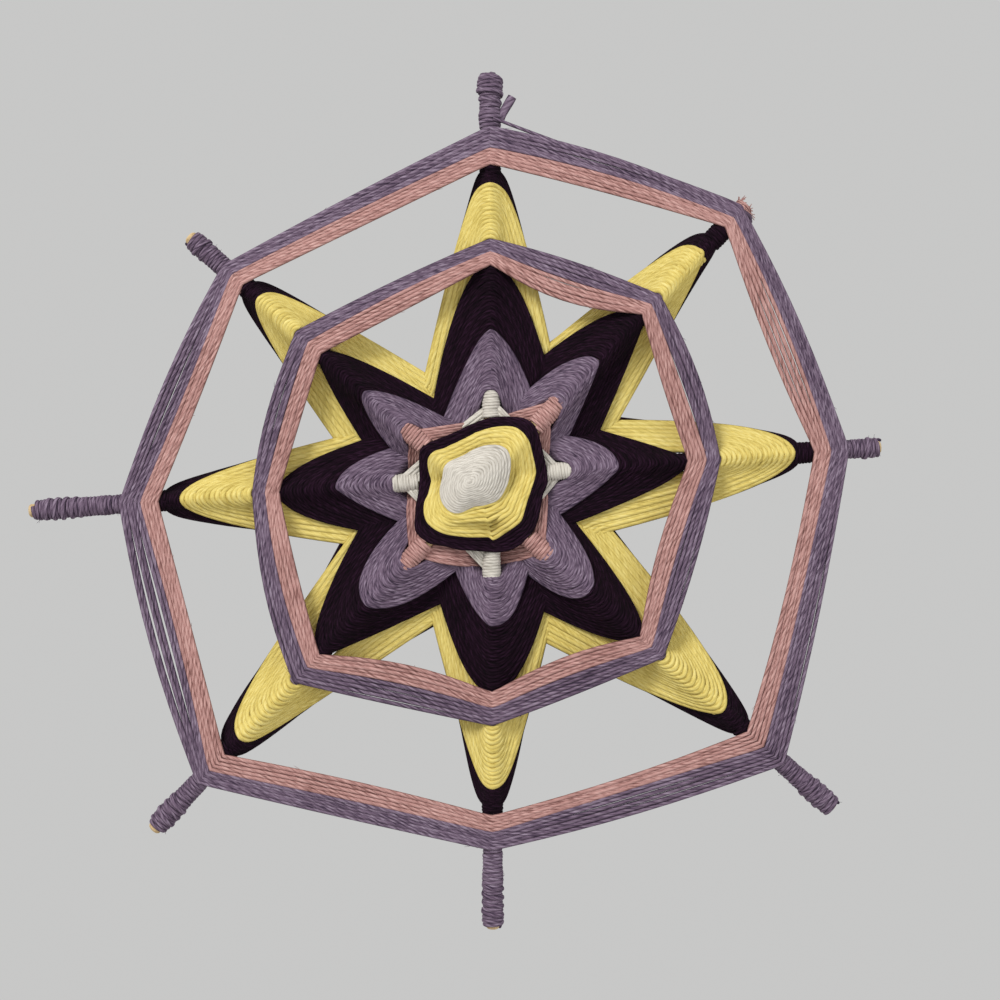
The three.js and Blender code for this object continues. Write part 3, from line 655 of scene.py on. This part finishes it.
def wind_square(skein, bands, depths, turns, radius, pitch, thin, growth):
    """A coiled tube on every second arm, and a flat band of strands from each to the next."""
    for k in bands:
        start, stop = REACH["ring_dark"][k] - 0.3, REACH["tube"][k] - radius * 0.4
        coil(skein, k, start, stop, pitch, radius, thin, swell=lambda t: growth * t)
        wind_band(skein, k, bands, depths, turns, radius)


white_square = Skein("yarn_square_white")
wind_square(white_square, WHITE_BANDS, WHITE_DEPTHS, turns=6, radius=0.62, pitch=1.02, thin=0.46, growth=0.1)
white_square.to_piece(WHITE, "square_white")

pink_square = Skein("yarn_square_pink")
wind_square(pink_square, PINK_BANDS, PINK_DEPTHS, turns=9, radius=0.7, pitch=1.2, thin=0.62, growth=0.25)
pink_square.to_piece(PINK, "square_pink")

# petals and stars: how far each layer drops beside the dowel, and its depths half way down a leg of a rear or
# front arm, in the valley between two legs, and behind the arms, where it is free or rests on an arm's back
LAYER = {
    "petal": {"drop": 1.5, "rear": 14.0, "front": 18.1, "valley": 13.6, "free": 13.0, "resting": 6.7},
    "star": {"drop": 2.2, "rear": 12.2, "front": 14.4, "valley": 11.0, "free": 11.0, "resting": 5.2},
    "yellow": {"drop": 2.8, "rear": 10.8, "front": 13.0, "valley": 8.8, "free": 8.8, "resting": 3.7},
    "tip": {"drop": 4.4, "rear": 8.4, "front": 10.0, "valley": 6.6, "free": 6.6, "resting": 2.2},
}
# which leg lies in front in each valley, anticlockwise and clockwise of each arm
PETAL_FRONT = [[-1, -1], [1, -1], [1, -1], [1, -1], [1, -1], [1, 1], [-1, -1], [1, 1]]
STAR_FRONT = [[1, 1], [-1, 1], [-1, 1], [-1, -1], [1, 1], [-1, 1], [-1, 1], [-1, -1]]
FRONT_LIFT = 0.55  # how far a leg in front rises in a valley, or the one behind it sinks
LEG_STEPS = 19
EARLY_OPENING = 0.36  # how fast the legs of the first rounds open towards the back
OPENS_FROM = 10  # and how far back along the arm they start to


def spread_at(q, law):
    """How far a leg stands aside at q: round at its tip, then by its law, and open towards the back."""
    start, slope, curve, opening = law
    least_slope, tip_round = 0.9, 1.3
    rounded = np.sqrt(1 - np.exp(-q * q / tip_round))
    aside = np.maximum(start * rounded + slope * q + curve * q * q, least_slope * q)
    return np.maximum(aside, opening * (q * q - OPENS_FROM))


def laws_at(spread_in, spread_out, s):
    """Each arm's two spread laws at share s of the winding. The early rounds open wider at the back."""
    opening = EARLY_OPENING * (1 - s)
    return [
        [(*(x + (y - x) * s**0.8 for x, y in zip(first, last)), opening) for first, last in zip(*sides)]
        for sides in zip(spread_in, spread_out)
    ]


def meeting(k, tips, law, next_law):
    """How far two neighbouring legs run before they cross, as q on each of them."""
    n = (k + 1) % 8
    q = np.linspace(0.3, math.sqrt(tips[k]), 200)
    place = on_arm(k, tips[k] - q * q, spread_at(q, law))
    drop = tips[n] - along_of(place, n)
    next_q = np.sqrt(np.maximum(drop, 0))
    room = -aside_of(place, n) - spread_at(next_q, next_law)
    i = int(np.argmax((room < 0) & (drop > 0)))
    share = room[i - 1] / (room[i - 1] - room[i])
    return q[i - 1] + share * (q[i] - q[i - 1]), next_q[i - 1] + share * (next_q[i] - next_q[i - 1])


def wound_leg(k, side, tips, laws, ends, lifts, layer, radius, lower):
    """Places from the front of arm k down to the valley on one side of it, for one turn."""
    sign = 1 if side == 1 else -1
    law, last = laws[k][side], ends[k][side]
    top = dowel_depth(k) + DOWEL + radius
    q = last * np.linspace(0, 1, LEG_STEPS) ** 1.5
    aside = spread_at(q, law)
    half_aside = max(float(spread_at(last * 0.5, law)), 4.5)
    valley_depth = layer["valley"] - radius - lower + FRONT_LIFT * lifts[k][side]
    depths = [
        (0.0, top),
        (1.7, top - 0.5),
        (3.4, top - layer["drop"] - 0.25 * lower),
        (half_aside, layer[side_of(k)] - radius - lower),
        (max(aside[-1], half_aside + 1), valley_depth),
    ]
    depth = np.interp(aside, *zip(*depths))
    depth[1:] = relax(depth, 2)[1:]
    return [on_arm(k, tips[k] - way, sign * out, d) for way, out, d in zip(q * q, aside, depth)]


def chord_behind(k, a, b, layer, radius, lower):
    """Places behind the arms, from the end of arm k's leg to the start of the leg three arms on."""
    beside, between = 2.5, 11
    behind = (k + (2 if side_of(k) == "rear" else 1)) % 8
    aside_a, aside_b = aside_of(a, behind), aside_of(b, behind)
    places = []
    for t in np.linspace(0, 1, 14)[1:-1]:
        away = abs(aside_a + (aside_b - aside_a) * t)
        back = np.interp(away, [beside, between], [layer["resting"], layer["free"]])
        depth = back - radius - lower * 0.8
        places.append((a[0] + (b[0] - a[0]) * t, a[1] + (b[1] - a[1]) * t, depth))
    return places


def wind_star(skein, inner, outer, spread_in, spread_out, turns, radius, layer, lifts, thin=0.5, below=None):
    """Rounds of yarn over every third arm. Each round lies outside and behind the one before."""
    for j in range(turns):
        s = (j + 0.5) / turns
        tips = [i + (o - i) * s + chance.uniform(-0.3, 0.3) for i, o in zip(inner, outer)]
        laws = laws_at(spread_in, spread_out, s)
        ends = [[0.0, 0.0] for _ in range(8)]
        for arm in range(8):
            beside = (arm + 1) % 8
            ends[arm][1], ends[beside][0] = meeting(arm, tips, laws[arm][1], laws[beside][0])
        lower = 0.9 * s + 0.3 * (j % 2)
        tone = chance.uniform(0, 1)
        places = []
        for k in [3 * n % 8 for n in range(8)]:
            far = (k + 3) % 8
            r = radius * chance.uniform(0.94, 1.05)
            leave = wound_leg(k, 1, tips, laws, ends, lifts, layer, r, lower)
            arrive = wound_leg(far, 0, tips, laws, ends, lifts, layer, r, lower)[::-1]
            line = leave + chord_behind(k, leave[-1], arrive[0], layer, r, lower) + arrive
            depth = relax([min(d, below(x, z)) if below else d for x, z, d in line], 2)
            wander = relax(chance.uniform(-0.3, 0.3, len(line)), 6)
            wander[:4] *= 0.3
            wander[-4:] *= 0.3
            places += [(x + w, z - w * 0.6, d) for (x, z, _), d, w in zip(line, depth, wander)][:-1]
        skein.lay(places, radius * chance.uniform(0.95, 1.04), closed=True, sides=7, tone=tone)
        for arm in range(8 if j else 0):
            loop_round(skein, arm, tips[arm] - 1.1 * radius, radius * 0.95, thin, gap=-0.05, tone=tone)


petals = Skein("yarn_petals")
tube_ends = [reach - 0.9 for reach in REACH["tube"]]
wind_star(
    petals, tube_ends, REACH["petal"], PETAL_START, PETAL_SPREAD,
    turns=19, radius=0.76, layer=LAYER["petal"], lifts=PETAL_FRONT, below=beneath_bands,
)  # fmt: skip
petals.to_piece(LAVENDER, "petals_lavender")

star = Skein("yarn_dark_star")
wind_star(
    star, REACH["petal"], REACH["star"], PETAL_SPREAD, STAR_SPREAD,
    turns=19, radius=0.76, layer=LAYER["star"], lifts=STAR_FRONT,
)  # fmt: skip
star.to_piece(DARK, "star_dark")

yellow_star = Skein("yarn_yellow_star")
ring_edge = [reach + 0.3 for reach in REACH["inner_lavender"]]
wind_star(
    yellow_star, ring_edge, REACH["yellow"], YELLOW_START, YELLOW_SPREAD,
    turns=14, radius=0.98, layer=LAYER["yellow"], lifts=STAR_FRONT, thin=0.6,
)  # fmt: skip
yellow_star.to_piece(YELLOW, "star_yellow")

tips = Skein("yarn_dark_tips")
tip_ends = [reach - neck for reach, neck in zip(REACH["tip"], NECK)]
wind_star(
    tips, REACH["yellow"], tip_ends, YELLOW_SPREAD, TIP_SPREAD,
    turns=9, radius=0.72, layer=LAYER["tip"], lifts=STAR_FRONT,
)  # fmt: skip
for k in range(8):
    start, stop = tip_ends[k] - 1.5, REACH["tip"][k] + 0.3
    coil(tips, k, start, stop, pitch=1.15, width=0.72, thin=0.6, swell=lambda t: 0.5 - 0.3 * t)
tips.to_piece(DARK, "tips_dark")

# the rings, wound over every arm: piece, node, the reach where each starts and ends, its bows and its turns
RINGS = [
    ("yarn_inner_ring_pink", "ring_inner_pink", "star", "inner_pink", "inner_edge", "inner_pink", 5, PINK),
    ("yarn_inner_ring_lavender", "ring_inner_lavender", "inner_pink", "inner_lavender", "inner_pink",
     "inner_lavender", 5, LAVENDER),
    ("yarn_outer_ring_pink", "ring_outer_pink", "tip", "outer_pink", "outer_edge", "outer_pink", 5, PINK),
    ("yarn_outer_ring_lavender", "ring_outer_lavender", "outer_pink", "outer_lavender", "outer_pink",
     "outer_lavender", 6, LAVENDER),
]  # fmt: skip
# how unevenly the strands lie between each arm and the next
SLACK = {
    "ring_inner_pink": [0.1] * 8,
    "ring_inner_lavender": [0.15, 0.25, 0.15, 0.1, 0.1, 0.1, 0.3, 0.15],
    "ring_outer_pink": [0.1] * 8,
    "ring_outer_lavender": [0.2, 0.1, 0.1, 0.1, 0.1, 0.1, 0.1, 0.1],
}
# strands that stand apart in the middle of an edge, so that thin gaps show between them
PARTING = {
    "ring_inner_pink": {},
    "ring_inner_lavender": {6: [0.0, 0.0, 0.4, 0.3, 0.25], 1: [0.35, 0.3, 0.25, 0.2, 0.2]},
    "ring_outer_pink": {0: [0.0, 0.4, 0.25, 0.2, 0.1]},
    "ring_outer_lavender": {
        0: [0.0, -0.1, -0.1, 0.45, 0.4, 0.4],
        2: [0.0, 0.0, 0.0, 0.0, 0.0, 0.65],
        5: [0.0, -0.2, 0.3, 0.05, 0.6, 0.3],
        6: [0.0, -0.1, -0.1, 0.45, 0.35, 0.75],
    },
}
# shares of the way from one arm to the next, close together where the strand bends over an arm
RING_STEPS = [0.0, 0.025, 0.055, 0.1, 0.18, 0.28, 0.39, 0.5, 0.61, 0.72, 0.82, 0.9, 0.945, 0.975]
RING_YARN = 0.78
RING_LIFT = 0.25


def wind_ring(skein, inner, outer, bow_in, bow_out, turns, slack, parting):
    """Rounds from arm to arm, each held by one turn round every arm."""
    for j in range(turns):
        s = (j + 0.5) / turns
        along = [i + (o - i) * s + chance.uniform(-0.08, 0.08) for i, o in zip(inner, outer)]
        tone = chance.uniform(0, 1)
        places = []
        for k in range(8):
            far = (k + 1) % 8
            lift = RING_LIFT + chance.uniform(0, 0.25)
            a = on_arm(k, along[k], 0, dowel_depth(k) + DOWEL + RING_YARN + lift)
            b = on_arm(far, along[far], 0, dowel_depth(far) + DOWEL + RING_YARN + lift)
            bow = bow_in[k] + (bow_out[k] - bow_in[k]) * s + chance.uniform(-slack[k], slack[k])
            bow += parting.get(k, [0.0] * turns)[j]
            dx, dz = b[0] - a[0], b[1] - a[1]
            length = math.hypot(dx, dz)
            skew = chance.uniform(-0.12, 0.12)
            for t in RING_STEPS:
                lean = t + skew * t * (1 - t)
                push = bow * (4 * lean * (1 - lean)) ** 1.2
                push -= 0.25 * math.exp(-((min(t, 1 - t) * length) ** 2) / 3)
                sink = 0.35 * math.sin(math.pi * t) * (j % 2)
                x = a[0] + dx * t - dz / length * push
                z = a[1] + dz * t + dx / length * push
                places.append((x, z, a[2] + (b[2] - a[2]) * t - sink))
        skein.lay(places, RING_YARN * chance.uniform(0.95, 1.05), closed=True, tone=tone)
        skein.fray(places, 40, RING_YARN, tone)
        for k in range(8):
            step = (outer[k] - inner[k]) / turns
            loop_round(skein, k, along[k] + 0.3 * step, RING_YARN * 0.95, 0.55, slant=0.1, tone=tone)


for name, node, inside, outside, bow_in, bow_out, turns, material in RINGS:
    ring = Skein(name)
    slack, parting = SLACK[node], PARTING[node]
    wind_ring(ring, REACH[inside], REACH[outside], BOW[bow_in], BOW[bow_out], turns, slack, parting)
    ring.to_piece(material, node)

# wrapped ends: how much wood shows, and how the wrap swells along its length
BARE = {"n": 1.4, "e": 0.5, "se": 0.3, "s": 1.0, "sw": 1.9, "w": 1.9, "nw": 1.2}
SWELL = {
    "n": [(0, 0.45), (0.25, 0.75), (0.5, 0.25), (0.65, 0.3), (0.8, 1.2), (0.92, 1.25), (1, 0.7)],
    "e": [(0, 0.0), (0.5, 0.1), (0.8, 0.0), (0.93, 0.1), (1, -0.35)],
    "se": [(0, 0.0), (0.3, 0.1), (0.6, 0.4), (0.95, 0.5), (1, -0.35)],
    "s": [(0, 0.1), (0.4, 0.35), (0.6, 0.1), (0.95, 0.4), (1, -0.35)],
    "sw": [(0, 0.0), (0.4, 0.3), (0.95, 0.6), (1, -0.35)],
    "w": [(0, 0.0), (0.2, 0.1), (0.6, 0.15), (0.96, 0.3), (1, -0.35)],
    "nw": [(0, 0.2), (0.4, 0.1), (0.93, 0.35), (1, -0.35)],
}
TAIL = [(3.2, 126.6, 13.6), (3.9, 128.9, 13.6), (5.1, 131.2, 13.4), (6.5, 133.6, 13.1), (7.5, 135.4, 12.9)]
LOOSE_STRAND = [
    (0.6, 126.9, 15.9), (2.9, 126.4, 15.6), (6.5, 124.9, 15.7), (11.6, 122.9, 16.0), (18.9, 120.1, 16.4),
    (27.0, 117.0, 16.9), (38.5, 113.2, 17.7), (52.5, 108.6, 18.5), (66.0, 103.8, 19.3), (74.6, 100.5, 19.8),
    (82.0, 97.6, 20.2), (87.6, 95.2, 20.4), (91.5, 91.6, 18.6), (92.0, 90.0, 16.5),
]  # fmt: skip


def wind_wrap(wrap, k, bare, swell):
    """A close coil on a stick end, and a looser layer wound back over it at a slant."""
    start, stop = REACH["outer_lavender"][k] - 0.6, END[k] - bare

    def beneath(t):
        return float(np.interp(t, *zip(*swell)))

    def beneath_back(t):
        return 0.7 * min(1.0, 5 * t, 5 - 5 * t) + beneath(1 - 0.6 * t)

    coil(wrap, k, start, stop, pitch=1.36, width=0.78, thin=0.6, swell=beneath, loose=2.0)
    back_stop = start + 0.4 * (stop - start)
    coil(wrap, k, stop - 1.6, back_stop, pitch=-3.1, width=0.8, thin=0.45, swell=beneath_back)


def close_top(wrap, k):
    """The top wrap's rounds over the dowel's end, its short flat tail and its loose strand."""
    dome, high, rounds, step = 4.2, 3.6, 7, 0.24
    for i in range(rounds):
        out = dome * math.cos(i * step)
        along = END[k] - 3.0 + high * math.sin(i * step) - 0.3 * (i == rounds - 1)
        angles = np.linspace(0, FULL_TURN, LOOP_STEPS + 1)[:-1]
        places = [round_arm(k, along + 0.5 * math.sin(angle + i), out, angle) for angle in angles]
        wrap.lay(places, 0.68, 0.75, normal=(*pointing(k), 0.0), closed=True, sides=6)
    wrap.lay(TAIL, [1.3, 1.5, 1.6, 1.65, 1.6], 0.6, tone=0.9)
    wrap.lay(LOOSE_STRAND, 0.62, sides=7)


for k, arm in enumerate(ARM_NAMES):
    if arm == "ne":
        continue
    wrap = Skein("yarn_wrap_" + arm)
    wind_wrap(wrap, k, BARE[arm], SWELL[arm])
    if arm == "n":
        close_top(wrap, k)
    wrap.to_piece(LAVENDER, "wrap_" + arm)


def tie_knot(knot, k):
    """Two turns round a stick end and the frayed tufts that stick out of them."""
    for i in range(2):
        loop_round(knot, k, 137.3 + 0.9 * i, radius=0.6, thin=0.5, gap=0.1 * i, slant=0.4)
    for _ in range(26):
        angle = chance.uniform(-1.9, 1.9)
        start = np.array(round_arm(k, 137.8 + chance.uniform(-0.8, 1.0), 2.7, angle))
        way = np.array([chance.uniform(-0.2, 1.5), chance.uniform(-1.1, 1.3), chance.uniform(-0.5, 0.6)])
        bend = chance.uniform(-0.8, 0.8, 3)
        places = [start + way * t * 1.9 + bend * t * t for t in np.linspace(0, 1, 6)]
        knot.lay(places, np.linspace(0.24, 0.12, 6), sides=6)


knot = Skein("yarn_knot")
tie_knot(knot, ARM_NAMES.index("ne"))
knot.to_piece(PINK, "knot_ne")


# floor, light and camera, in metres
def lay_floor():
    left, right, near, back, level = -1.6, 1.6, -1.4, 1.1, -0.8
    mesh = bpy.data.meshes.new("floor")
    corners = [(left, near, level), (right, near, level), (right, back, level), (left, back, level)]
    mesh.from_pydata(corners, [], [(0, 1, 2, 3)])
    paint = Finish("floor_paint", 0.9)
    paint.shader.inputs["Base Color"].default_value = (0.62, 0.61, 0.6, 1)
    mesh.materials.append(paint.material)
    link_object("floor", mesh)


def light_room(colour):
    world = bpy.data.worlds.new("studio")
    bpy.context.scene.world = world
    world.use_nodes = True
    background = world.node_tree.nodes["Background"]
    background.inputs[0].default_value = (*colour, 1)
    background.inputs[1].default_value = 1.0


def soft_light(name, place, size, power, colour=(1, 1, 1)):
    lamp = bpy.data.lights.new(name, "AREA")
    lamp.shape = "SQUARE"
    lamp.size = size
    lamp.energy = power
    lamp.color = colour
    light = link_object(name, lamp)
    light.location = place
    aim = Vector((0, 0, -0.15)) - Vector(place)
    light.rotation_euler = aim.to_track_quat("-Z", "Y").to_euler()


def set_camera(place, lens):
    data = bpy.data.cameras.new("camera")
    data.sensor_width = 36
    data.lens = lens
    camera = link_object("camera", data)
    camera.location = place
    camera.rotation_euler = (math.radians(90), 0, 0)
    bpy.context.scene.camera = camera


lay_floor()
light_room((0.575, 0.575, 0.57))
soft_light("key", (-0.55, -0.85, 0.55), size=0.4, power=10.5, colour=(1, 0.98, 0.95))
soft_light("fill", (0.8, -0.8, -0.1), size=0.8, power=3.0)
set_camera((0.0031, -0.579, -0.1531), lens=57.1)
bpy.context.scene.view_settings.view_transform = "Standard"
